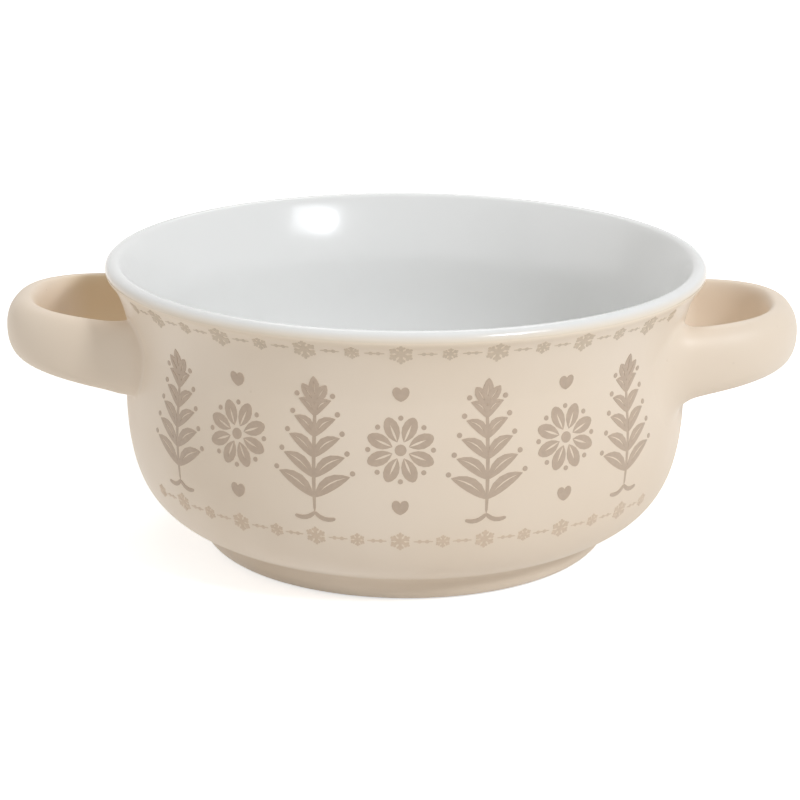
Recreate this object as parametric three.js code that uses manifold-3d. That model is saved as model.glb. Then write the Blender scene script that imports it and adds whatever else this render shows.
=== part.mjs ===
// Soup bowl with two loop handles: a turned clay body on a foot ring, a white glaze lining that runs over
// the lip, and two strap handles stuck on with beads of slip. Millimetres, +Z up. The origin is the middle
// of the ring that it stands on, the handles lie along X and the front faces -Y.

import * as THREE from "three";
import { mergeVertices } from "three/addons/utils/BufferGeometryUtils.js";
import Module from "manifold-3d";

// Rim and wall
const rimRadius = 70; // outermost edge of the lip
const rimHeight = 68.1; // top of the lip above the table
const lipRadius = 1.9; // half the thickness of the round lip
const rimLean = 47; // degrees from upright at which the wall runs into the lip
const rimFlare = 5.1; // how far the lip stands out past the neck
const neckDrop = 17.1; // from the lip's top down to the neck, the narrowest part of the wall
const neckLength = 14; // from the neck down to the widest part of the belly
const bellySwell = 1; // how far the belly stands out past the neck
const wallThickness = 4.3; // clay and glaze together
const flarePull = 3.3; // how long the wall keeps its direction at each end of the flare
const bellySidePull = 19.2; // the same below the belly's widest part
const bellyUnderPull = 12; // the same where the belly leaves the foot

// Foot
const footInset = 17.2; // how far the foot stands in from the belly
const footEdge = 3.7; // rounding of its lower outer edge
const footLand = 0.7; // upright part between that rounding and the cove
const coveRadius = 2; // hollow between foot and belly
const bellyRise = 18.6; // degrees above level at which the belly leaves the cove
const standWidth = 3.6; // flat ring that touches the table
const footRecess = 3.5; // height of the hollow under the floor
const recessLean = 1.6; // how far that hollow narrows upwards

// Inside
const floorThickness = 5.5; // clay and glaze together
const floorRadius = 30; // flat middle of the floor
const floorPull = 23; // how long the floor keeps level past its flat middle
const liningSidePull = 20; // how long the inside stays upright below the belly
const liningRimPull = 4.6; // how long the inside keeps its lean below the lip
const liningNeckPull = 5; // how long it stays upright above the neck

// White glaze
const coatThickness = 0.5;
const coatEdgeAngle = -18; // degrees round the lip's outside, below its level, where the white ends
const bondGap = 0.05; // left between glaze and clay

// Handles
const standOut = { left: 28.7, right: 26.8 }; // from the neck to each handle's outer face
const legSpan = 45.7; // between the middles of a handle's two legs
const loopFullness = 2.5; // 2 bends the loop to an ellipse, more makes it squarer
const strapDrop = 19.4; // from the lip's top down to the middle of the strap at its roots
const strapRise = 2.7; // how much higher that middle lies at the tip
const rootHeight = 16.3; // strap height at the wall
const tipHeight = 13.9; // strap height at the tip
const strapThickness = 7.5;
const outerShare = 0.65; // part of that thickness outside the line that the strap follows
const outerRoundness = 2.3; // 2 is an elliptic face, more is flatter
const innerRoundness = 4;
const rootSwell = 1.5; // how much the strap thickens all round where it meets the wall
const swellLength = 7; // how far from the wall that reaches
const rootSink = 2; // how far the strap is drawn into the wall before it is cut to it

// Slip beads
const slipThickness = 1.2; // between the wall and the end of a leg
const slipBead = 0.5; // how far the bead stands out all round the leg
const seatGap = 0.3; // left on both sides of the slip

// Facets
const turnSteps = 56; // round the bowl
const bendSteps = 5; // along the short bends of the wall
const sweepSteps = 8; // along its long ones
const arcSteps = 3; // along each small rounding
const lipSteps = 6; // round the lip
const loopSteps = 28; // along a handle
const legSteps = 8; // along one leg
const strapSides = 16; // round a handle's strap

// Sizes that follow
const neckRadius = rimRadius - rimFlare;
const neckHeight = rimHeight - neckDrop;
const bellyRadius = neckRadius + bellySwell;
const bellyHeight = neckHeight - neckLength;
const neckPull = neckLength / 3;
const footRadius = bellyRadius - footInset;
const standRadius = footRadius - footEdge;
const coveHeight = footEdge + footLand;
const floorHeight = footRecess + floorThickness;
const lipCentre = new THREE.Vector2(rimRadius - lipRadius, rimHeight - lipRadius);
const up = Math.PI / 2;
const lipLean = THREE.MathUtils.degToRad(rimLean);
const coatEdge = THREE.MathUtils.degToRad(coatEdgeAngle);
const coveEnd = up + THREE.MathUtils.degToRad(bellyRise);
const rootReach = legSpan / 2 + strapThickness * outerShare + rootSwell + slipBead;
const rootX = Math.sqrt(neckRadius ** 2 - rootReach ** 2) - rootSink;

const wasm = await Module();
wasm.setup();

const cream = { color: 0xdccdba, roughness: 0.45, metalness: 0 };
const white = { color: 0xe8e8e4, roughness: 0.12, metalness: 0 };

// A point of a turned outline: distance from the axis and height
function at(radius, height) {
  return new THREE.Vector2(radius, height);
}

// A point moved along a direction given in radians
function along(point, angle, length) {
  return at(point.x + length * Math.cos(angle), point.y + length * Math.sin(angle));
}

// An arc round a centre, from one angle to another
function arc(centre, radius, from, to) {
  return new THREE.ArcCurve(centre.x, centre.y, radius, from, to, to < from);
}

// The points along curves that follow each other, each shared end once
function trace(...runs) {
  return runs.flatMap(([curve, steps], index) => curve.getPoints(steps).slice(index ? 1 : 0));
}

// The outside of the wall from the cove over the foot up to the given angle on the lip
function outerWall(lipAngle) {
  const coveCentre = at(footRadius + coveRadius, coveHeight);
  const under = along(coveCentre, coveEnd, coveRadius);
  const belly = at(bellyRadius, bellyHeight);
  const neck = at(neckRadius, neckHeight);
  const lip = along(lipCentre, -lipLean, lipRadius);
  return trace(
    [arc(coveCentre, coveRadius, Math.PI, coveEnd), arcSteps],
    [
      new THREE.CubicBezierCurve(
        under,
        along(under, coveEnd - up, bellyUnderPull),
        along(belly, -up, bellySidePull),
        belly,
      ),
      sweepSteps,
    ],
    [new THREE.CubicBezierCurve(belly, along(belly, up, neckPull), along(neck, -up, neckPull), neck), arcSteps],
    [
      new THREE.CubicBezierCurve(
        neck,
        along(neck, up, flarePull),
        along(lip, -up - lipLean, flarePull),
        lip,
      ),
      bendSteps,
    ],
    [arc(lipCentre, lipRadius, -lipLean, lipAngle), arcSteps],
  );
}

// The inside from an angle on the lip down to the middle of the floor, sunk into the clay by a depth
function lining(depth, lipAngle) {
  const lipEnd = Math.PI - lipLean;
  const lip = along(lipCentre, lipEnd, lipRadius - depth);
  const neck = at(neckRadius - wallThickness + depth, neckHeight);
  const belly = at(bellyRadius - wallThickness + depth, bellyHeight);
  const floorEdge = at(floorRadius, floorHeight - depth);
  const middle = at(0, floorHeight - depth);
  return trace(
    [arc(lipCentre, lipRadius - depth, lipAngle, lipEnd), lipSteps],
    [
      new THREE.CubicBezierCurve(
        lip,
        along(lip, -up - lipLean, liningRimPull),
        along(neck, up, liningNeckPull),
        neck,
      ),
      bendSteps,
    ],
    [new THREE.CubicBezierCurve(neck, along(neck, -up, neckPull), along(belly, up, neckPull), belly), arcSteps],
    [
      new THREE.CubicBezierCurve(
        belly,
        along(belly, -up, liningSidePull),
        along(floorEdge, 0, floorPull),
        floorEdge,
      ),
      sweepSteps,
    ],
    [new THREE.LineCurve(floorEdge, middle), 1],
  );
}

// A solid turned about Z from an outline that starts and ends on the axis
function turned(outline) {
  return new THREE.LatheGeometry(outline, turnSteps).rotateX(Math.PI / 2);
}

// Foot, floor and wall in one piece of clay, let in where the glaze lies on it
function bodyGeometry() {
  const under = [
    at(0, footRecess),
    at(standRadius - standWidth - recessLean, footRecess),
    at(standRadius - standWidth, 0),
  ];
  const edge = arc(at(standRadius, footEdge), footEdge, -up, 0).getPoints(arcSteps);
  return turned([...under, ...edge, ...outerWall(coatEdge), ...lining(coatThickness + bondGap, coatEdge)]);
}

// The coat on the inside and over the lip, clear of the clay at its edge too
function linerGeometry() {
  const edge = coatEdge + bondGap / (lipRadius - coatThickness);
  return turned([...lining(coatThickness, edge).reverse(), ...lining(0, edge)]);
}

// The bowl as a solid block without its hollow, its wall grown outwards
function wallBlock(grow) {
  const wall = outerWall(0).map((point) => at(point.x + grow, point.y));
  return turned([at(0, wall[0].y), ...wall, at(0, wall.at(-1).y)]);
}

// The line that a strap follows: half a superellipse in plan, from the front root round the tip to the back
class HandleLoop extends THREE.Curve {
  constructor(side) {
    super();
    this.tipX = neckRadius + standOut[side] - strapThickness * outerShare;
  }

  getPoint(share) {
    const angle = Math.PI * (share - 0.5);
    const power = 2 / loopFullness;
    const outward = Math.abs(Math.cos(angle)) ** power;
    const sideways = Math.sign(angle) * Math.abs(Math.sin(angle)) ** power;
    return new THREE.Vector3(rootX + (this.tipX - rootX) * outward, (legSpan / 2) * sideways, 0);
  }
}

// One cross-section of a strap: a full round outer face and a flatter inner one
function strapSection(loop, share, bead) {
  const middle = loop.getPointAt(share);
  const tangent = loop.getTangentAt(share);
  const outward = new THREE.Vector3(tangent.y, -tangent.x, 0);
  const fromWall = Math.max(0, Math.hypot(middle.x, middle.y) - neckRadius);
  const swell = bead + rootSwell * Math.max(0, 1 - fromWall / swellLength) ** 2;
  const toTip = THREE.MathUtils.clamp((middle.x - neckRadius) / (loop.tipX - neckRadius), 0, 1);
  const halfHeight = THREE.MathUtils.lerp(rootHeight, tipHeight, toTip) / 2 + swell;
  middle.z = rimHeight - strapDrop + strapRise * toTip;
  return Array.from({ length: strapSides }, (_, index) => {
    const angle = (2 * Math.PI * index) / strapSides;
    const side = Math.cos(angle);
    const rise = Math.sin(angle);
    const power = 2 / (side > 0 ? outerRoundness : innerRoundness);
    const depth = strapThickness * (side > 0 ? outerShare : 1 - outerShare) + swell;
    const point = middle.clone().addScaledVector(outward, Math.sign(side) * depth * Math.abs(side) ** power);
    point.z += Math.sign(rise) * halfHeight * Math.abs(rise) ** power;
    return point;
  });
}

// A skin over cross-sections that follow each other, closed by a cap at both ends
function loft(sections) {
  const sides = sections[0].length;
  const last = (sections.length - 1) * sides;
  const index = [];
  for (let row = 0; row < last; row += sides) {
    for (let side = 0; side < sides; side += 1) {
      const next = (side + 1) % sides;
      index.push(row + side, row + sides + side, row + next);
      index.push(row + next, row + sides + side, row + sides + next);
    }
  }
  for (let side = 1; side < sides - 1; side += 1) {
    index.push(0, side, side + 1);
    index.push(last, last + side + 1, last + side);
  }
  return new THREE.BufferGeometry().setFromPoints(sections.flat()).setIndex(index);
}

// A length of strap between two shares of its loop
function strap(side, from, to, steps, bead) {
  const loop = new HandleLoop(side);
  const share = (step) => THREE.MathUtils.lerp(from, to, step / steps);
  return loft(Array.from({ length: steps + 1 }, (_, step) => strapSection(loop, share(step), bead)));
}

// A closed geometry as a solid that can be cut
function solid(geometry) {
  geometry.deleteAttribute("normal");
  geometry.deleteAttribute("uv");
  const merged = mergeVertices(geometry);
  const corners = merged.index.array;
  const triangles = [];
  for (let first = 0; first < corners.length; first += 3) {
    const [a, b, c] = corners.slice(first, first + 3);
    if (a !== b && b !== c && c !== a) triangles.push(a, b, c);
  }
  const vertProperties = new Float32Array(merged.attributes.position.array);
  return new wasm.Manifold(new wasm.Mesh({ numProp: 3, vertProperties, triVerts: new Uint32Array(triangles) }));
}

// A cut solid back as a geometry
function geometryOf(cut) {
  const mesh = cut.getMesh();
  const geometry = new THREE.BufferGeometry();
  geometry.setAttribute("position", new THREE.BufferAttribute(mesh.vertProperties, 3));
  return geometry.setIndex(new THREE.BufferAttribute(mesh.triVerts, 1));
}

// A whole handle, its two ends cut to the wall with room for the slip
function handleGeometry(side) {
  const slipRoom = wallBlock(slipThickness + 2 * seatGap);
  return geometryOf(solid(strap(side, 0, 1, loopSteps, 0)).subtract(solid(slipRoom)));
}

// The bead of slip under one leg: the leg's own section, spread a little, between wall and leg
function slipGeometry(side, from, to) {
  const spread = solid(strap(side, from, to, legSteps, slipBead));
  const outer = solid(wallBlock(slipThickness + seatGap));
  return geometryOf(spread.intersect(outer).subtract(solid(wallBlock(seatGap))));
}

// A named sub-part with a material of its own
function piece(name, geometry, look) {
  geometry.computeVertexNormals();
  const mesh = new THREE.Mesh(geometry, new THREE.MeshStandardMaterial(look));
  mesh.name = name;
  return mesh;
}

// One handle with its two beads of slip, drawn on the right and turned to its side
function handleGroup(side, turn, legs) {
  const legShare = 0.25;
  const handle = new THREE.Group();
  handle.rotation.z = turn;
  handle.add(piece(`handle_${side}`, handleGeometry(side), cream));
  handle.add(piece(`slip_${side}_${legs[0]}`, slipGeometry(side, 0, legShare), cream));
  handle.add(piece(`slip_${side}_${legs[1]}`, slipGeometry(side, 1 - legShare, 1), cream));
  return handle;
}

const bowl = new THREE.Group();
bowl.add(piece("bowl_body", bodyGeometry(), cream));
bowl.add(piece("liner_glaze", linerGeometry(), white));
bowl.add(handleGroup("right", 0, ["front", "back"]));
bowl.add(handleGroup("left", Math.PI, ["back", "front"]));

export default bowl;
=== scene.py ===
import math

import bpy
import numpy as np
from mathutils import Matrix, Vector


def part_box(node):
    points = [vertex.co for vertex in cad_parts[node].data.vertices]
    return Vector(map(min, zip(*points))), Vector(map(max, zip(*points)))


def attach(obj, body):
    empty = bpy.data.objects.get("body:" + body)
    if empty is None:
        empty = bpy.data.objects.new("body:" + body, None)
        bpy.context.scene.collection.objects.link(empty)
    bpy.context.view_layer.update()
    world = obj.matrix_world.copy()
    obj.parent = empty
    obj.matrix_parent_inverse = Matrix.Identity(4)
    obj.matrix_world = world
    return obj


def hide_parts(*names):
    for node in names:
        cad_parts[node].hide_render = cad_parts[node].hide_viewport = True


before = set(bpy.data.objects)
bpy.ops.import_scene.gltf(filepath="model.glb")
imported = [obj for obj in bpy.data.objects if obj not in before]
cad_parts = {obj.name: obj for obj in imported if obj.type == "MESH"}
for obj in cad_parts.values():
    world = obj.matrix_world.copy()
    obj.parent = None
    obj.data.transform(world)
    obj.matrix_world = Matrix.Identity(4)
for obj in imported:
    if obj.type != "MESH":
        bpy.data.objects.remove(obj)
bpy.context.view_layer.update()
mm = 0.001  # shapes are worked out in millimetres and put into the meshes in metres

linerLow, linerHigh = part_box("liner_glaze")
rimRadius = (linerHigh.x - linerLow.x) / 2 / mm
rimHeight = linerHigh.z / mm
tipReach = {"left": -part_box("handle_left")[0].x / mm, "right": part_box("handle_right")[1].x / mm}
print("frame: rim", round(2 * rimRadius, 1), "mm across,", round(rimHeight, 1), "mm high")


def addObject(name, data):
    thing = bpy.data.objects.new(name, data)
    bpy.context.scene.collection.objects.link(thing)
    return thing


# the camera that the bowl was seen with: a long lens, a little above the rim, turned and rolled slightly
viewpoint = dict(lensPixels=2228.3, frameSize=800, distance=532.0, aimHeight=32.18, pitch=17.245, turn=0.75,
                 roll=-0.385, centreColumn=405.05, sensor=36.0, clipStart=0.01)


def addCamera():
    pitch, turn, roll = (math.radians(viewpoint[key]) for key in ("pitch", "turn", "roll"))
    forward = Vector((0, math.cos(pitch), -math.sin(pitch)))
    up = Vector((0, math.sin(pitch), math.cos(pitch)))
    right = Vector((1, 0, 0))
    rolledUp = up * math.cos(roll) + right * math.sin(roll)
    rolledRight = right * math.cos(roll) - up * math.sin(roll)
    place = Vector((0, 0, viewpoint["aimHeight"])) - forward * viewpoint["distance"]
    axes = Matrix((rolledRight, rolledUp, -forward)).transposed().to_4x4()
    frameSize = viewpoint["frameSize"]
    data = bpy.data.cameras.new("photo_camera")
    data.sensor_width = viewpoint["sensor"]
    data.lens = viewpoint["lensPixels"] / frameSize * viewpoint["sensor"]
    data.shift_x = (frameSize / 2 - viewpoint["centreColumn"]) / frameSize
    data.clip_start = viewpoint["clipStart"]
    camera = addObject("photo_camera", data)
    camera.matrix_world = Matrix.Rotation(turn, 4, "Z") @ Matrix.Translation(place * mm) @ axes
    bpy.context.scene.camera = camera


addCamera()
print("camera: set")


# outline helpers: every outline is an array of rows (distance from the axis, height)
def bezier(start, pullStart, pullEnd, end, steps):
    # cubic curve: the four points weighted by the powers of the share t and of 1 - t
    t = np.linspace(0, 1, steps + 1)[:, None]
    corners = [np.asarray(corner, float) for corner in (start, pullStart, pullEnd, end)]
    weights = [(1 - t) ** 3, 3 * t * (1 - t) ** 2, 3 * t ** 2 * (1 - t), t ** 3]
    return sum(weight * corner for weight, corner in zip(weights, corners))


def arc(centre, radius, fromDegrees, toDegrees, steps):
    # circle: centre plus radius times cosine and sine; the radius may change along the arc
    angle = np.radians(np.linspace(fromDegrees, toDegrees, steps + 1))
    return np.asarray(centre, float) + np.stack([radius * np.cos(angle), radius * np.sin(angle)], 1)


def moved(point, degrees, length):
    angle = math.radians(degrees)
    return np.asarray(point, float) + length * np.array([math.cos(angle), math.sin(angle)])


def chain(*runs):
    return np.concatenate([runs[0]] + [run[1:] for run in runs[1:]])


def lengths(line):
    # how far along an outline each of its points lies
    return np.concatenate([[0], np.cumsum(np.linalg.norm(np.diff(line, axis=0), axis=1))])


def smooth(share):
    share = np.clip(share, 0, 1)
    return share * share * (3 - 2 * share)


# mesh helpers
def markSharp(mesh, flat):
    # every edge of a flat four-sided face is sharp, so that the smooth faces beside it keep their own shading
    edges = np.empty(len(mesh.loops), np.int32)
    mesh.loops.foreach_get("edge_index", edges)
    sharp = np.zeros(len(mesh.edges), bool)
    sharp[edges.reshape(-1, 4)[flat]] = True
    mesh.edges.foreach_set("use_edge_sharp", sharp)


def putMesh(name, points, faces, material, slot, *nodes, smoothFaces=True):
    mesh = bpy.data.meshes.new(name)
    mesh.from_pydata((points * mm).tolist(), [], [face for group in faces for face in group.tolist()])
    smoothFaces = np.broadcast_to(smoothFaces, len(mesh.polygons)).copy()
    mesh.polygons.foreach_set("use_smooth", smoothFaces)
    if not smoothFaces.all():
        markSharp(mesh, ~smoothFaces)
    mesh.materials.append(material)
    piece = addObject(name, mesh)
    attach(piece, "root")
    if nodes:
        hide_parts(*nodes)
    print("piece:", name, len(mesh.polygons), "faces")
    return piece


def putValues(piece, name, values):
    # one number for each point, that a material reads
    piece.data.attributes.new(name, "FLOAT", "POINT").data.foreach_set("value", values)


def turnedMesh(line, turns):
    # surface of revolution: radius times cosine and sine of the turn, height kept; both ends lie on the axis
    angle = np.linspace(0, 2 * np.pi, turns, endpoint=False)
    radius, height = line[1:-1, 0, None], line[1:-1, 1, None]
    grid = np.stack([radius * np.cos(angle), radius * np.sin(angle), height + 0 * angle], -1)
    points = np.concatenate([[[0, 0, line[0, 1]]], grid.reshape(-1, 3), [[0, 0, line[-1, 1]]]])
    column = np.arange(turns)
    following = (column + 1) % turns
    row = 1 + turns * np.arange(len(line) - 3)[:, None]
    quads = np.stack([row + column, row + following, row + turns + following, row + turns + column], -1)
    lastRing = 1 + turns * (len(line) - 3)
    bottom = np.stack([0 * column, 1 + following, 1 + column], -1)
    top = np.stack([0 * column + len(points) - 1, lastRing + column, lastRing + following], -1)
    return points, [quads.reshape(-1, 4), bottom, top]


# the bowl's outline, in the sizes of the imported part
# lengths are in millimetres; leans, arcs and edges in degrees
# a pull is how far a curve keeps the direction that it starts or ends with
wall = dict(lip=1.9, rimLean=47, rimFlare=5.1, neckDrop=17.1, neckLength=14, bellySwell=1.0, thickness=4.3,
            flarePull=3.3, sidePull=19.2, underPull=12, footInset=17.2, footEdge=3.7, footLand=0.7, cove=2.0,
            bellyRise=18.6, standWidth=3.6, standRound=1.0, recess=3.5, recessLean=1.6, recessRound=3.0,
            recessPull=2.4, slopeOut=0.7, slopeRise=0.45, slopeLean=112, slopePullUp=1.1, slopePullDown=1.0,
            floor=5.5, floorRadius=30, floorPull=23, liningSidePull=20, liningRimPull=1.5, liningNeckPull=5,
            turns=320)
# the white coat: its thickness, its gap to the clay, where it ends on the lip and how that end tucks in
coat = dict(thickness=0.5, bond=0.05, edge=-18, tuckArc=6, tuckDepth=0.12, tuckFade=6, endDepth=0.16,
            thickenArc=40)
# how many steps each stretch of an outline is drawn in
cuts = dict(recess=6, footEdge=12, cove=8, belly=36, neck=14, flare=18, toCoat=8, sink=12, lip=14, thicken=10,
            shownLip=30, liningFlare=20, liningNeck=12, liningSide=32, floor=8, wallLip=6)

neckRadius = rimRadius - wall["rimFlare"]
neckHeight = rimHeight - wall["neckDrop"]
bellyRadius = neckRadius + wall["bellySwell"]
bellyHeight = neckHeight - wall["neckLength"]
footRadius = bellyRadius - wall["footInset"]
standRadius = footRadius - wall["footEdge"]
lipCentre = np.array([rimRadius - wall["lip"], rimHeight - wall["lip"]])
neckPull = wall["neckLength"] / 3


def outerWall():
    # from the cove above the foot over belly and neck to the start of the round lip
    coveCentre = np.array([footRadius + wall["cove"], wall["footEdge"] + wall["footLand"]])
    leave = 90 + wall["bellyRise"]
    under = moved(coveCentre, leave, wall["cove"])
    belly = np.array([bellyRadius, bellyHeight])
    neck = np.array([neckRadius, neckHeight])
    lip = moved(lipCentre, -wall["rimLean"], wall["lip"])
    fromUnder = moved(under, wall["bellyRise"], wall["underPull"])
    toLip = moved(lip, -90 - wall["rimLean"], wall["flarePull"])
    return chain(
        arc(coveCentre, wall["cove"], 180, leave, cuts["cove"]),
        bezier(under, fromUnder, moved(belly, -90, wall["sidePull"]), belly, cuts["belly"]),
        bezier(belly, moved(belly, 90, neckPull), moved(neck, -90, neckPull), neck, cuts["neck"]),
        bezier(neck, moved(neck, 90, wall["flarePull"]), toLip, lip, cuts["flare"]))


def inside(depth):
    # from the inner side of the lip down to the middle of the floor, sunk into the clay by a depth
    lip = moved(lipCentre, 180 - wall["rimLean"], wall["lip"] - depth)
    neck = np.array([neckRadius - wall["thickness"] + depth, neckHeight])
    belly = np.array([bellyRadius - wall["thickness"] + depth, bellyHeight])
    floorHeight = wall["recess"] + wall["floor"] - depth
    edge = np.array([wall["floorRadius"], floorHeight])
    fromLip = moved(lip, -90 - wall["rimLean"], wall["liningRimPull"])
    fromBelly = moved(belly, -90, wall["liningSidePull"])
    across = np.linspace(wall["floorRadius"], 0, cuts["floor"] + 1)
    return chain(
        bezier(lip, fromLip, moved(neck, 90, wall["liningNeckPull"]), neck, cuts["liningFlare"]),
        bezier(neck, moved(neck, -90, neckPull), moved(belly, 90, neckPull), belly, cuts["liningNeck"]),
        bezier(belly, fromBelly, moved(edge, 0, wall["floorPull"]), edge, cuts["liningSide"]),
        np.stack([across, np.full_like(across, floorHeight)], 1))


def lipArc(fromDegrees, toDegrees, depth, steps):
    return arc(lipCentre, wall["lip"] - depth, fromDegrees, toDegrees, steps)


def underside():
    # from the axis across the recess, over a soft slope and down to the ring that the bowl stands on
    height = wall["recess"]
    standInner = standRadius - wall["standWidth"]
    hollow = standInner - wall["recessLean"]
    corner = np.array([hollow - wall["recessRound"], height])
    slope = np.array([hollow + wall["slopeOut"], wall["slopeRise"] * height])
    toSlope = moved(slope, wall["slopeLean"], wall["slopePullUp"])
    fromSlope = moved(slope, wall["slopeLean"] - 180, wall["slopePullDown"])
    stand = (standInner + wall["standRound"], 0)
    return chain(
        np.array([[0, height], [hollow / 2, height], corner]),
        bezier(corner, moved(corner, 0, wall["recessPull"]), toSlope, slope, cuts["recess"]),
        bezier(slope, fromSlope, (standInner, 0), stand, cuts["recess"]))


def clayOutline():
    # underside, foot, wall and lip; past the glaze's edge the clay sinks under the coat
    foot = arc((standRadius, wall["footEdge"]), wall["footEdge"], -90, 0, cuts["footEdge"])
    sunk = coat["thickness"] + coat["bond"]
    sinking = sunk * smooth(np.linspace(0, 1, cuts["sink"] + 1))
    sunkFrom = coat["edge"] + coat["thickenArc"]
    return chain(
        np.concatenate([underside(), foot, outerWall()]),
        lipArc(-wall["rimLean"], coat["edge"], 0, cuts["toCoat"]),
        lipArc(coat["edge"], sunkFrom, sinking, cuts["sink"]),
        lipArc(sunkFrom, 180 - wall["rimLean"], sunk, cuts["lip"]),
        inside(sunk))


def liningOutline():
    # the coat's hidden side up to its edge, then its visible side back; the edge tucks in under the clay
    start, end = coat["edge"] - coat["tuckArc"], 180 - wall["rimLean"]
    thickFrom = start + coat["thickenArc"]
    thickening = np.linspace(coat["endDepth"], coat["thickness"], cuts["thicken"] + 1)
    tuck = coat["tuckDepth"] * (1 - smooth(np.linspace(0, coat["tuckFade"], cuts["shownLip"] + 1)))
    hidden = chain(
        lipArc(start, thickFrom, thickening, cuts["thicken"]),
        lipArc(thickFrom, end, coat["thickness"], cuts["lip"]),
        inside(coat["thickness"]))
    shown = chain(lipArc(start, end, tuck, cuts["shownLip"]), inside(0))
    return np.concatenate([hidden[::-1], shown]), len(hidden)


# node helpers for the materials
def link(tree, source, target):
    tree.links.new(source, target)


def addNode(tree, kind, **values):
    node = tree.nodes.new(kind)
    for key, value in values.items():
        setattr(node, key, value)
    return node


def objectPlace(tree):
    return addNode(tree, "ShaderNodeTexCoord").outputs["Object"]


def pointValue(tree, name):
    return addNode(tree, "ShaderNodeAttribute", attribute_name=name).outputs["Fac"]


def ramp(tree, value, low, high):
    # smooth step of a value from 0 at low to 1 at high
    node = addNode(tree, "ShaderNodeMapRange", interpolation_type="SMOOTHSTEP")
    node.inputs["From Min"].default_value = low
    node.inputs["From Max"].default_value = high
    link(tree, value, node.inputs["Value"])
    return node.outputs["Result"]


def math2(tree, operation, first, second):
    node = addNode(tree, "ShaderNodeMath", operation=operation)
    for index, value in enumerate((first, second)):
        if isinstance(value, (int, float)):
            node.inputs[index].default_value = value
        else:
            link(tree, value, node.inputs[index])
    return node.outputs[0]


def mixColour(tree, share, first, second):
    node = addNode(tree, "ShaderNodeMix", data_type="RGBA")
    link(tree, share, node.inputs["Factor"])
    for key, value in (("A", first), ("B", second)):
        socket = [s for s in node.inputs if s.name == key and s.type == "RGBA"][0]
        if isinstance(value, tuple):
            socket.default_value = (*value, 1)
        else:
            link(tree, value, socket)
    return [s for s in node.outputs if s.type == "RGBA"][0]


def noise(tree, place, scale, detail):
    node = addNode(tree, "ShaderNodeTexNoise")
    node.inputs["Scale"].default_value = scale
    node.inputs["Detail"].default_value = detail
    link(tree, place, node.inputs["Vector"])
    return node.outputs["Fac"]


def emptyMaterial(name):
    material = bpy.data.materials.new(name)
    material.use_nodes = True
    material.node_tree.nodes.clear()
    return material, material.node_tree


# fired glaze: slow drifts of tone, sparse pinhole specks and a faint orange peel, shared by every finish here
fired = dict(driftDetail=3, driftLow=0.3, driftHigh=0.7, speckScale=260, speckRim=0.09, speckCore=0.04,
             patchScale=130, patchDetail=1, patchLow=0.58, patchHigh=0.66, peelScale=420, peelDetail=2,
             peelDepth=0.0002, smoothest=0.85, roughest=1.15, ior=1.5)


def firedGlazeGroup():
    tree = bpy.data.node_groups.new("firedGlaze", "ShaderNodeTree")
    tree.interface.new_socket("Tone Scale", in_out="INPUT", socket_type="NodeSocketFloat")
    for name in ("Tone", "Speck", "Peel"):
        tree.interface.new_socket(name, in_out="OUTPUT", socket_type="NodeSocketFloat")
    inputs = addNode(tree, "NodeGroupInput")
    outputs = addNode(tree, "NodeGroupOutput")
    place = objectPlace(tree)
    drift = addNode(tree, "ShaderNodeTexNoise")
    drift.inputs["Detail"].default_value = fired["driftDetail"]
    link(tree, place, drift.inputs["Vector"])
    link(tree, inputs.outputs["Tone Scale"], drift.inputs["Scale"])
    tone = ramp(tree, drift.outputs["Fac"], fired["driftLow"], fired["driftHigh"])
    link(tree, tone, outputs.inputs["Tone"])
    dots = addNode(tree, "ShaderNodeTexVoronoi")
    dots.inputs["Scale"].default_value = fired["speckScale"]
    link(tree, place, dots.inputs["Vector"])
    speck = ramp(tree, dots.outputs["Distance"], fired["speckRim"], fired["speckCore"])
    patches = noise(tree, place, fired["patchScale"], fired["patchDetail"])
    sparse = ramp(tree, patches, fired["patchLow"], fired["patchHigh"])
    link(tree, math2(tree, "MULTIPLY", speck, sparse), outputs.inputs["Speck"])
    link(tree, noise(tree, place, fired["peelScale"], fired["peelDetail"]), outputs.inputs["Peel"])
    return tree


firedGlaze = firedGlazeGroup()


def glazeMaterial(name, finish):
    # an empty glossy material with the shared glaze effects; the caller links a colour and the roughness
    material, tree = emptyMaterial(name)
    shader = addNode(tree, "ShaderNodeBsdfPrincipled")
    shader.inputs["IOR"].default_value = fired["ior"]
    output = addNode(tree, "ShaderNodeOutputMaterial")
    link(tree, shader.outputs["BSDF"], output.inputs["Surface"])
    glaze = addNode(tree, "ShaderNodeGroup", node_tree=firedGlaze)
    glaze.inputs["Tone Scale"].default_value = finish["toneScale"]
    rough = addNode(tree, "ShaderNodeMapRange")
    rough.inputs["To Min"].default_value = finish["roughness"] * fired["smoothest"]
    rough.inputs["To Max"].default_value = finish["roughness"] * fired["roughest"]
    link(tree, glaze.outputs["Tone"], rough.inputs["Value"])
    bump = addNode(tree, "ShaderNodeBump")
    bump.inputs["Strength"].default_value = finish["peel"]
    bump.inputs["Distance"].default_value = fired["peelDepth"]
    link(tree, glaze.outputs["Peel"], bump.inputs["Height"])
    link(tree, bump.outputs["Normal"], shader.inputs["Normal"])
    return material, tree, shader, glaze, rough.outputs["Result"]


# cream glaze: tan where it is thin under the lip, a painted shade in deep gold inside the left handle's loop,
# wiped off where the bowl stands
cream = dict(colour=(0.858, 0.735, 0.603), deep=(0.832, 0.702, 0.562), tan=(0.87, 0.735, 0.57),
             bare=(0.78, 0.69, 0.58), speck=(0.60, 0.475, 0.34), paintedShadeTint=(0.79, 0.63, 0.43),
             roughness=0.48, peel=0.10, toneScale=22, speckShare=0.25,
             tanTop=66.4, tanFade=63.6, ragScale=90, ragDetail=2, ragSpread=0.5, ragLeast=0.25,
             bareHeight=0.5, bareFull=0.3, bareRoughness=0.75)


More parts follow.
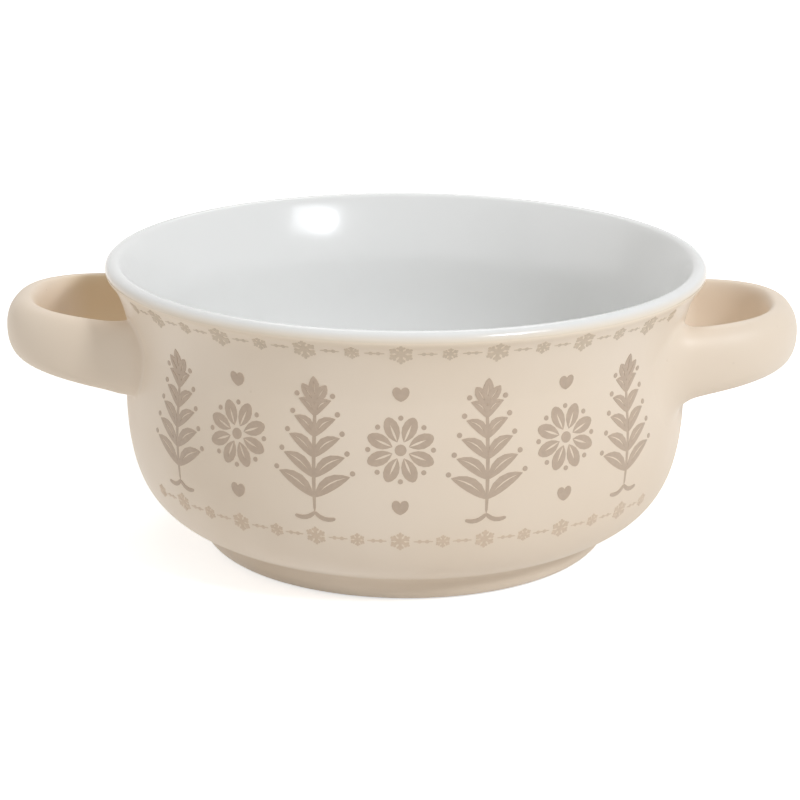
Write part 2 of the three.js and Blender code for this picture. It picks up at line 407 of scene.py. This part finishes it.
def creamMaterial():
    material, tree, shader, glaze, rough = glazeMaterial("cream_glaze", cream)
    place = objectPlace(tree)
    split = addNode(tree, "ShaderNodeSeparateXYZ")
    link(tree, place, split.inputs["Vector"])
    height = split.outputs["Z"]
    specks = math2(tree, "MULTIPLY", glaze.outputs["Speck"], cream["speckShare"])
    nearRim = ramp(tree, height, cream["tanFade"] * mm, cream["tanTop"] * mm)
    ragged = noise(tree, place, cream["ragScale"], cream["ragDetail"])
    ragged = math2(tree, "ADD", math2(tree, "MULTIPLY", ragged, cream["ragSpread"]), cream["ragLeast"])
    thin = math2(tree, "MULTIPLY", nearRim, ragged)
    wiped = ramp(tree, height, cream["bareHeight"] * mm, cream["bareFull"] * mm)
    colour = mixColour(tree, glaze.outputs["Tone"], cream["colour"], cream["deep"])
    # the painted shade layer darkens the inside of the left handle's loop towards deep gold
    layers = dict(speck=specks, paintedShadeTint=pointValue(tree, "paintedShade"), tan=thin, bare=wiped)
    for name, share in layers.items():
        colour = mixColour(tree, share, colour, cream[name])
    link(tree, colour, shader.inputs["Base Color"])
    wipedRough = math2(tree, "MULTIPLY", wiped, cream["bareRoughness"])
    link(tree, math2(tree, "MAXIMUM", rough, wipedRough), shader.inputs["Roughness"])
    return material


# white glaze: cream shows through near the coat's edge
white = dict(colour=(0.875, 0.877, 0.866), deep=(0.85, 0.853, 0.845), edge=(0.87, 0.75, 0.60), roughness=0.18,
             peel=0.06, toneScale=14, edgeStart=0.25, edgeRun=2.6)


def whiteMaterial():
    material, tree, shader, glaze, rough = glazeMaterial("white_glaze", white)
    colour = mixColour(tree, glaze.outputs["Tone"], white["colour"], white["deep"])
    # the lining's own value is 0 on the edge and 1 away from it
    colour = mixColour(tree, pointValue(tree, "edge"), white["edge"], colour)
    link(tree, colour, shader.inputs["Base Color"])
    link(tree, rough, shader.inputs["Roughness"])
    return material


creamGlaze = creamMaterial()
whiteGlaze = whiteMaterial()
print("materials: glazes made")

bowlPoints, bowlFaces = turnedMesh(clayOutline(), wall["turns"])
putMesh("bowl_clay", bowlPoints, bowlFaces, creamGlaze, "cream_clay", "bowl_body")

liningLine, liningHidden = liningOutline()
liningPoints, liningFaces = turnedMesh(liningLine, wall["turns"])
bowlLining = putMesh("bowl_lining", liningPoints, liningFaces, whiteGlaze, "white_glaze", "liner_glaze")
liningRun = lengths(liningLine)
fromEdge = np.abs(liningRun - liningRun[liningHidden])
fromEdge = smooth((fromEdge - white["edgeStart"]) / white["edgeRun"])
putValues(bowlLining, "edge",
          np.concatenate([fromEdge[:1], np.repeat(fromEdge[1:-1], wall["turns"]), fromEdge[-1:]]))


# the wall as a surface that other pieces lie on, up to the glaze's edge on the lip
wallLine = chain(outerWall(), lipArc(-wall["rimLean"], coat["edge"] - coat["tuckArc"], 0, cuts["wallLip"]))
wallRun = lengths(wallLine)
wallSlope = np.gradient(wallLine, wallRun, axis=0)


def runAt(height):
    return float(np.interp(height, wallLine[:, 1], wallRun))


def wallRadius(height):
    return np.interp(height, wallLine[:, 1], wallLine[:, 0])


def onWall(turn, run, lift):
    # a point of the outline turned about the axis from the front, raised along the outline's normal
    radius, height = (np.interp(run, wallRun, wallLine[:, axis]) for axis in (0, 1))
    slopeOut, slopeUp = (np.interp(run, wallRun, wallSlope[:, axis]) for axis in (0, 1))
    radius, height = radius + lift * slopeUp, height - lift * slopeOut
    return np.stack([radius * np.sin(turn), -radius * np.cos(turn), height], -1)


# the handles: a strap along half a superellipse, its two ends running out over the wall in fillets
# past its fillet an end dips under the wall's surface and closes in a plug inside the clay
strap = dict(legSpan=45.7, fullness=2.5, drop=19.4, rise=2.7, rootHeight=16.3, tipHeight=13.9, thickness=7.5,
             outerShare=0.65, outerRoundness=2.3, innerRoundness=2.3, rootDepth=9, swell=0.9, swellLength=8,
             sides=72, rows=120, filletRows=14, halvings=40, nudge=1e-4, sink=0.012, dip=0.7, dipDepth=0.175,
             plugShare=0.4, plugDepth=1.75)
fillet = dict(left=dict(outer=0.9, inner=3.2, top=1.2, bottom=0.9),
              right=dict(outer=6.0, inner=8.0, top=3.0, bottom=6.0))
# painted shade on a loop's inner side: all of it up to a distance from the wall, none past a longer one; the
# left loop gets it in full, the right none
paintedShade = dict(left=1.0, right=0.0, full=13.0, none=20.0, innerFrom=-0.1, innerTo=0.4)


def strapSurface(side, share, around):
    # share 0 to 1 along the loop, around in radians: superellipse path plus superellipse section across it
    def path(at):
        angle = np.pi * (at - 0.5)
        power = 2 / strap["fullness"]
        rootX = neckRadius - strap["rootDepth"]
        tipX = tipReach[side] - strap["thickness"] * strap["outerShare"]
        x = rootX + (tipX - rootX) * np.abs(np.cos(angle)) ** power
        y = strap["legSpan"] / 2 * np.sign(np.sin(angle)) * np.abs(np.sin(angle)) ** power
        return x, y, np.clip((x - neckRadius) / (tipX - neckRadius), 0, 1)

    x, y, toTip = path(share)
    ahead, behind = path(np.minimum(share + strap["nudge"], 1)), path(np.maximum(share - strap["nudge"], 0))
    alongX, alongY = ahead[0] - behind[0], ahead[1] - behind[1]
    length = np.hypot(alongX, alongY)
    outX, outY = alongY / length, -alongX / length
    fromWall = np.maximum(np.hypot(x, y) - neckRadius, 0)
    swell = strap["swell"] * np.maximum(1 - fromWall / strap["swellLength"], 0) ** 2
    halfHeight = (strap["rootHeight"] + (strap["tipHeight"] - strap["rootHeight"]) * toTip) / 2 + swell
    sideways, upwards = np.cos(around), np.sin(around)
    outer = sideways > 0
    power = 2 / np.where(outer, strap["outerRoundness"], strap["innerRoundness"])
    depth = strap["thickness"] * np.where(outer, strap["outerShare"], 1 - strap["outerShare"]) + swell
    out = np.sign(sideways) * depth * np.abs(sideways) ** power
    up = np.sign(upwards) * halfHeight * np.abs(upwards) ** power
    z = rimHeight - strap["drop"] + strap["rise"] * toTip + up
    return np.stack([x + outX * out, y + outY * out, z], -1)


def wallPlace(points):
    # angle about the axis, height, and distance outside the wall
    turn = np.arctan2(points[..., 1], points[..., 0])
    height = points[..., 2]
    return np.stack([turn, height, np.hypot(points[..., 0], points[..., 1]) - wallRadius(height)], -1)


def fromWallPlace(place):
    radius = wallRadius(place[..., 1]) + place[..., 2]
    return np.stack([radius * np.cos(place[..., 0]), radius * np.sin(place[..., 0]), place[..., 1]], -1)


def shareAtWall(side, around, root, lift):
    # halves the stretch between root and tip until the surface stands that far off the wall
    low, high = np.full_like(around, root), np.full_like(around, 0.5)
    for _ in range(strap["halvings"]):
        middle = (low + high) / 2
        outside = wallPlace(strapSurface(side, middle, around))[..., 2] > lift
        low, high = np.where(outside, low, middle), np.where(outside, middle, high)
    return (low + high) / 2


def filletRadius(side, around):
    # the four radii weighted by the squares of cosine and sine, each on its own side of the strap
    size = fillet[side]
    sideways, upwards = np.cos(around), np.sin(around)
    flat = sideways ** 2 * np.where(sideways > 0, size["outer"], size["inner"])
    return flat + upwards ** 2 * np.where(upwards > 0, size["top"], size["bottom"])


def filletRows(side, around, root):
    # quadratic curve from the strap, by way of where it would meet the wall, to a place out on the wall
    radius = filletRadius(side, around)
    leave = wallPlace(strapSurface(side, shareAtWall(side, around, root, radius), around))
    meet = wallPlace(strapSurface(side, shareAtWall(side, around, root, 0.0), around))
    centre = meet.mean(0)
    lateral = np.stack([(meet[:, 0] - centre[0]) * neckRadius / strap["thickness"] ** 2,
                        (meet[:, 1] - centre[1]) / strap["rootHeight"] ** 2], -1)
    lateral /= np.linalg.norm(lateral, axis=1, keepdims=True)
    lateral = np.column_stack([lateral[:, 0] / neckRadius, lateral[:, 1], np.zeros(len(meet))])
    spread = meet + radius[:, None] * lateral - [0, 0, strap["sink"]]
    t = np.linspace(0, 1, strap["filletRows"] + 1)[:, None, None]
    rows = (1 - t) ** 2 * leave + 2 * t * (1 - t) * meet + t ** 2 * spread
    under = spread + strap["dip"] * lateral - [0, 0, strap["dipDepth"]]
    plug = centre + strap["plugShare"] * (meet - centre) - [0, 0, strap["plugDepth"]]
    return fromWallPlace(np.concatenate([rows, under[None], plug[None]]))


# painted shade: deep gold on a loop's inner side near the wall, fading out further from it
def paintedShadeShares(side, rows, around):
    nearWall = 1 - smooth((wallPlace(rows)[..., 2] - paintedShade["full"]) / (paintedShade["none"] - paintedShade["full"]))
    inner = smooth((-np.cos(around) - paintedShade["innerFrom"]) / (paintedShade["innerTo"] - paintedShade["innerFrom"]))
    return (paintedShade[side] * nearWall * inner).ravel()


def handleMesh(side):
    around = np.linspace(0, 2 * np.pi, strap["sides"], endpoint=False)
    first, last = (shareAtWall(side, around, root, filletRadius(side, around)) for root in (0.0, 1.0))
    share = first + (last - first) * np.linspace(0, 1, strap["rows"] + 1)[:, None]
    body = strapSurface(side, share, np.broadcast_to(around, share.shape))
    rows = np.concatenate([filletRows(side, around, 0.0)[:0:-1], body, filletRows(side, around, 1.0)[1:]])
    sides = strap["sides"]
    column = np.arange(sides)
    following = (column + 1) % sides
    row = sides * np.arange(len(rows) - 1)[:, None]
    quads = np.stack([row + column, row + sides + column, row + sides + following, row + following], -1)
    lastRow = sides * (len(rows) - 1)
    caps = [column[None], (lastRow + column[::-1])[None]]
    points = rows.reshape(-1, 3)
    if side == "left":
        points = points * [-1, -1, 1]  # half a turn about the axis
    return points, [quads.reshape(-1, 4), *caps], paintedShadeShares(side, rows, around)


for side in ("left", "right"):
    handlePoints, handleFaces, handlePaintedShade = handleMesh(side)
    handle = putMesh(f"handle_{side}_clay", handlePoints, handleFaces, creamGlaze, "cream_clay",
                     f"handle_{side}", f"slip_{side}_front", f"slip_{side}_back")
    # each point's share of the painted shade, read by the cream glaze
    putValues(handle, "paintedShade", handlePaintedShade)


# printed ornament: thin blades of ink that lie on the wall
# a blade is one row: from x, y to x, y, its bow to the left, half its width, and how blunt its two ends are
ink = dict(proud=0.045, layer=0.0012, sunk=0.06, stations=9, blunt=0.22, round=0.5, finest=0.03,
           roughness=cream["roughness"], peel=0.10, toneScale=60,
           grainScale=900, grainDetail=3, grainLow=0.35, grainHigh=0.75)


def bladeMesh(blades, turns, runs, order):
    # point at share t: straight line plus bow times 4 t (1 - t)
    # half width there: t to one power times 1 - t to another
    count, stations = len(blades), ink["stations"]
    t = (1 - np.cos(np.linspace(0, np.pi, stations))) / 2
    start, end, bow, width, bluntStart, bluntEnd = np.split(blades[:, :, None], [2, 4, 5, 6, 7], axis=1)
    along = end - start
    side = np.stack([-along[:, 1], along[:, 0]], 1) / np.linalg.norm(along, axis=1, keepdims=True)
    spine = start + along * t + side * bow * 4 * t * (1 - t)
    flow = np.gradient(spine, axis=2)
    normal = np.stack([-flow[:, 1], flow[:, 0]], 1) / np.linalg.norm(flow, axis=1, keepdims=True)
    peak = bluntStart / (bluntStart + bluntEnd)
    half = width * (t / peak) ** bluntStart * ((1 - t) / (1 - peak)) ** bluntEnd
    across = np.array([-1, 0, 1])
    flat = spine[..., None] + normal[..., None] * np.maximum(half, ink["finest"])[..., None] * across
    run = runs[:, None, None] + flat[:, 1]
    turn = turns[:, None, None] + flat[:, 0] / np.interp(runs, wallRun, wallLine[:, 0])[:, None, None]
    proud = ink["proud"] + ink["layer"] * order[:, None, None]  # no two that overlap lie in one plane
    layers = np.stack([onWall(turn, run, proud), onWall(turn, run, -ink["sunk"])], 1)
    faces = bladeFaces(count, stations)
    shown = np.arange(len(faces) // count) < (stations - 1) * 2  # the rim and the underside stay flat
    return layers.reshape(-1, 3), [faces], np.tile(shown, count)


def bladeFaces(count, stations):
    # one blade's top, bottom and rim, repeated for every blade
    grid = np.arange(stations * 3).reshape(stations, 3)
    below = grid + stations * 3
    top = np.stack([grid[:-1, 1:], grid[:-1, :-1], grid[1:, :-1], grid[1:, 1:]], -1).reshape(-1, 4)
    bottom = np.stack([below[:-1, :-1], below[:-1, 1:], below[1:, 1:], below[1:, :-1]], -1).reshape(-1, 4)
    rim = np.concatenate([grid[:-1, 2], grid[-1, :0:-1], grid[:0:-1, 0], grid[0, :-1]])
    after = np.roll(rim, -1)
    walls = np.stack([rim, after, after + stations * 3, rim + stations * 3], -1)
    one = np.concatenate([top, bottom, walls])
    return (one + np.arange(count)[:, None, None] * stations * 6).reshape(-1, 4)


def blade(x0, y0, x1, y1, width, bow=0.0, start=ink["blunt"], end=ink["blunt"]):
    return [x0, y0, x1, y1, bow, width, start, end]


def dot(x, y, radius):
    return blade(x - radius, y, x + radius, y, radius, 0, ink["round"], ink["round"])


def polar(angle, distance, centre=(0, 0)):
    return centre[0] + distance * math.cos(angle), centre[1] + distance * math.sin(angle)


def placed(motifs):
    # motifs: rows of blades with the turn and the run along the wall where each stands
    blades = np.concatenate([np.array(rows, float) for rows, _, _ in motifs])
    turns = np.concatenate([np.full(len(rows), turn) for rows, turn, _ in motifs])
    runs = np.concatenate([np.full(len(rows), run) for rows, _, run in motifs])
    order = np.concatenate([np.arange(len(rows)) for rows, _, _ in motifs])
    return bladeMesh(blades, turns, runs, order)


def inkMaterial(name, colour, pale):
    material, tree, shader, glaze, rough = glazeMaterial(name, ink)
    grain = noise(tree, objectPlace(tree), ink["grainScale"], ink["grainDetail"])
    grain = ramp(tree, grain, ink["grainLow"], ink["grainHigh"])
    worn = math2(tree, "MULTIPLY", math2(tree, "ADD", glaze.outputs["Tone"], grain), 0.5)
    link(tree, mixColour(tree, worn, colour, pale), shader.inputs["Base Color"])
    link(tree, rough, shader.inputs["Roughness"])
    return material


# borders of snowflakes with a beaded line between each two; a flake's sizes are shares of its radius
# a border's tilt is how much higher its left end lies than its middle, as a transfer laid on by hand does
border = dict(upper=dict(height=63.2, tilt=0.3, step=8.57, large=2.75, small=1.8,
                         colour=(0.61, 0.50, 0.378), pale=(0.68, 0.557, 0.428)),
              lower=dict(height=20.5, tilt=0.6, step=8.18, large=2.35, small=1.7,
                         colour=(0.665, 0.526, 0.394), pale=(0.737, 0.583, 0.443)),
              reach=7, link=4.2, linkShift=0.34, linkWidth=0.16, beadPlace=0.19, bead=0.46,
              core=0.27, arms=6, armWidth=0.15, knee=0.52, twig=0.4, twigWidth=0.12, twigLean=50)


def snowflake(radius):
    lean = math.radians(border["twigLean"])
    blades = [dot(0, 0, border["core"] * radius)]
    for arm in range(border["arms"]):
        angle = (2 * arm + 1) * math.pi / border["arms"]
        blades.append(blade(0, 0, *polar(angle, radius), border["armWidth"] * radius))
        knee = polar(angle, border["knee"] * radius)
        for twigAngle in (angle - lean, angle + lean):
            twig = polar(twigAngle, border["twig"] * radius, knee)
            blades.append(blade(*knee, *twig, border["twigWidth"] * radius))
    return blades


def beadedLine():
    length = border["link"]
    beads = [dot(side * border["beadPlace"] * length, 0, border["bead"]) for side in (-1, 1)]
    return [blade(-length / 2, 0, length / 2, 0, border["linkWidth"]), *beads]


def borderMotifs(ring):
    # large and small flakes by turns across front and back, each beaded line nearer the small one
    def standing(motif, degrees):
        turn = math.radians(degrees)
        return motif, turn, runAt(ring["height"] - ring["tilt"] * math.sin(turn))

    motifs = []
    for facing in (0, 180):
        for place in range(-border["reach"], border["reach"] + 1):
            flake = snowflake(ring["small" if place % 2 else "large"])
            motifs.append(standing(flake, facing + place * ring["step"]))
            if place < border["reach"]:
                shift = -border["linkShift"] if place % 2 else border["linkShift"]
                motifs.append(standing(beadedLine(), facing + (place + 0.5) * ring["step"] + shift))
    return motifs


for level in ("upper", "lower"):
    ring = border[level]
    borderPoints, borderFaces, borderTops = placed(borderMotifs(ring))
    borderInk = inkMaterial(f"{level}_border_ink", ring["colour"], ring["pale"])
    putMesh(f"print_{level}_border", borderPoints, borderFaces, borderInk, "cream_clay",
            smoothFaces=borderTops)


# the frieze between the borders: sprigs and rosettes by turns, hearts over and under the rosettes
frieze = dict(height=41.5, spacing=16.2, reach=3, colour=(0.505, 0.39, 0.295), pale=(0.575, 0.45, 0.345))
leafShape = dict(halfWidth=0.46, halfBow=0.56)
sprigShape = dict(foot=-15, top=9.5, stem=0.42, pairs=5, firstPair=-11.5, pairStep=4.5, leafSide=0.3,
                  leafLength=9.2, leafShorter=1.1, leafLean=56, leafSteeper=3, leafWidth=1.6,
                  leafNarrower=0.12, leafBow=1.0, leafBlunt=(0.75, 0.85), berryGap=1.5, berryShift=0.4,
                  berry=0.58, budFoot=9.4, budLean=34, budTall=6.0, budShort=4.8, budWidth=1.2,
                  budBlunt=(0.8, 0.7), curlReach=4.6, curlFoot=-16.2, curlWidth=0.5, curlBow=0.9)
rosetteShape = dict(disc=1.25, petals=8, petalFrom=1.9, petalLength=5.6, petalWidth=1.6,
                    petalBlunt=(0.95, 0.55), beadsAt=6.9, bead=0.55)
heartShape = dict(size=1.9, above=12.4, below=-12.6, lobeSide=0.42, lobeTop=0.72, lobeWidth=0.5, lobeBow=0.2,
                  lobeBlunt=(0.9, 0.45))


def leaf(foot, angle, length, width, blunt, bow=0.0):
    # two halves with a fine vein left bare between them
    tip = polar(angle, length, foot)
    halfWidth, halfBow = leafShape["halfWidth"] * width, leafShape["halfBow"] * width
    return [blade(*foot, *tip, halfWidth, bow + half * halfBow, *blunt) for half in (-1, 1)]


def sprig():
    # an upright stem with leaves in pairs, berries at their tips, a bud on top and two curls at its foot
    shape = sprigShape
    blades = [blade(0, shape["foot"], 0, shape["top"], shape["stem"])]
    for pair in range(shape["pairs"]):
        height = shape["firstPair"] + shape["pairStep"] * pair
        length = shape["leafLength"] - shape["leafShorter"] * pair
        width = shape["leafWidth"] - shape["leafNarrower"] * pair
        for lean in (-1, 1):
            angle = math.radians(90 - lean * (shape["leafLean"] - shape["leafSteeper"] * pair))
            foot = (lean * shape["leafSide"], height)
            blades += leaf(foot, angle, length, width, shape["leafBlunt"], lean * shape["leafBow"])
            berry = polar(angle, length + shape["berryGap"], (-lean * shape["berryShift"], height))
            blades.append(dot(*berry, shape["berry"]))
    for lean in (-1, 0, 1):
        angle = math.radians(90 - shape["budLean"] * lean)
        length = shape["budShort"] if lean else shape["budTall"]
        blades += leaf((0, shape["budFoot"]), angle, length, shape["budWidth"], shape["budBlunt"])
    for lean in (-1, 1):
        curlTip = (lean * shape["curlReach"], shape["curlFoot"])
        blades.append(blade(0, shape["foot"], *curlTip, shape["curlWidth"], -lean * shape["curlBow"]))
    return blades


def rosette():
    # petals round a disc, with beads between their tips
    shape = rosetteShape
    blades = [dot(0, 0, shape["disc"])]
    for petal in range(shape["petals"]):
        angle = petal * 2 * math.pi / shape["petals"]
        turned = angle + math.pi / shape["petals"]
        foot = polar(turned, shape["petalFrom"])
        blades += leaf(foot, turned, shape["petalLength"], shape["petalWidth"], shape["petalBlunt"])
        blades.append(dot(*polar(angle, shape["beadsAt"]), shape["bead"]))
    return blades


def heart(height):
    # two lobes that share the point below
    size = heartShape["size"]
    side, top = heartShape["lobeSide"] * size, heartShape["lobeTop"] * size
    width, bow = heartShape["lobeWidth"] * size, heartShape["lobeBow"] * size
    return [blade(0, height - size, lean * side, height + top, width, -lean * bow, *heartShape["lobeBlunt"])
            for lean in (-1, 1)]


def friezeMotifs(facing):
    run = runAt(frieze["height"])
    motifs = []
    for place in range(-frieze["reach"], frieze["reach"] + 1):
        turn = facing + math.radians(frieze["spacing"]) * place
        if place % 2:
            motif = sprig()
        else:
            motif = rosette() + heart(heartShape["above"]) + heart(heartShape["below"])
        motifs.append((motif, turn, run))
    return motifs


friezeInk = inkMaterial("frieze_ink", frieze["colour"], frieze["pale"])
for facing, name in ((0.0, "front"), (math.pi, "back")):
    friezePoints, friezeFaces, friezeTops = placed(friezeMotifs(facing))
    putMesh(f"print_frieze_{name}", friezePoints, friezeFaces, friezeInk, "cream_clay",
            smoothFaces=friezeTops)


# studio: a white floor and soft lamps, the strongest ones in front on the right
# a lamp's bearing goes from the front towards the right, its climb up from level, both in degrees
studio = dict(floorSize=12.0, floorColour=(0.88, 0.88, 0.875), floorGlow=0.62, worldLevel=0.40,
              worldColour=(1.0, 0.985, 0.96), lampDistance=1.6, aimHeight=0.04)
lamps = dict(key=dict(bearing=42, climb=35, size=0.2, power=6.4, colour=(0.965, 1.0, 1.045)),
             wide=dict(bearing=48, climb=37, size=0.46, power=4.2, colour=(0.965, 1.0, 1.045)),
             left=dict(bearing=-90, climb=20, size=1.3, power=3.1, colour=(1.0, 1.0, 1.0)),
             back=dict(bearing=180, climb=50, size=0.8, power=3.8, colour=(1.0, 1.0, 1.0)),
             top=dict(bearing=0, climb=86, size=1.0, power=2.3, colour=(1.0, 0.98, 0.95)))


def whenSeen(tree):
    # 1 for rays that show the surroundings themselves: straight, in gloss and through glass
    seen = addNode(tree, "ShaderNodeLightPath").outputs
    direct = math2(tree, "MAXIMUM", seen["Is Camera Ray"], seen["Is Glossy Ray"])
    return math2(tree, "MAXIMUM", direct, seen["Is Transmission Ray"])


def addFloor():
    material, tree = emptyMaterial("studio_floor")
    diffuse = addNode(tree, "ShaderNodeBsdfDiffuse")
    diffuse.inputs["Color"].default_value = (*studio["floorColour"], 1)
    glow = addNode(tree, "ShaderNodeEmission")
    link(tree, math2(tree, "MULTIPLY", whenSeen(tree), studio["floorGlow"]), glow.inputs["Strength"])
    both = addNode(tree, "ShaderNodeAddShader")
    link(tree, diffuse.outputs[0], both.inputs[0])
    link(tree, glow.outputs[0], both.inputs[1])
    output = addNode(tree, "ShaderNodeOutputMaterial")
    link(tree, both.outputs[0], output.inputs["Surface"])
    mesh = bpy.data.meshes.new("studio_floor")
    half = studio["floorSize"] / 2
    corners = [(-half, -half, 0), (half, -half, 0), (half, half, 0), (-half, half, 0)]
    mesh.from_pydata(corners, [], [(0, 1, 2, 3)])
    mesh.materials.append(material)
    floor = addObject("studio_floor", mesh)


def addWorld():
    world = bpy.data.worlds.new("studio_world")
    bpy.context.scene.world = world
    world.use_nodes = True
    tree = world.node_tree
    tree.nodes.clear()
    sky = addNode(tree, "ShaderNodeBackground")
    dimmed = tuple(studio["worldLevel"] * share for share in studio["worldColour"])
    link(tree, mixColour(tree, whenSeen(tree), dimmed, (1, 1, 1)), sky.inputs["Color"])
    output = addNode(tree, "ShaderNodeOutputWorld")
    link(tree, sky.outputs[0], output.inputs["Surface"])


def addLamps():
    aim = Vector((0, 0, studio["aimHeight"]))
    for name, lamp in lamps.items():
        bearing, climb = math.radians(lamp["bearing"]), math.radians(lamp["climb"])
        level = Vector((math.sin(bearing), -math.cos(bearing), 0)) * math.cos(climb)
        outwards = level + Vector((0, 0, math.sin(climb)))
        data = bpy.data.lights.new(f"{name}_lamp", "AREA")
        data.size = lamp["size"]
        data.energy = lamp["power"]
        data.color = lamp["colour"]
        light = addObject(f"{name}_lamp", data)
        light.location = aim + outwards * studio["lampDistance"]
        light.rotation_euler = (-outwards).to_track_quat("-Z", "Y").to_euler()


addFloor()
addWorld()
addLamps()
bpy.context.scene.view_settings.view_transform = "Standard"
print("studio: lit")
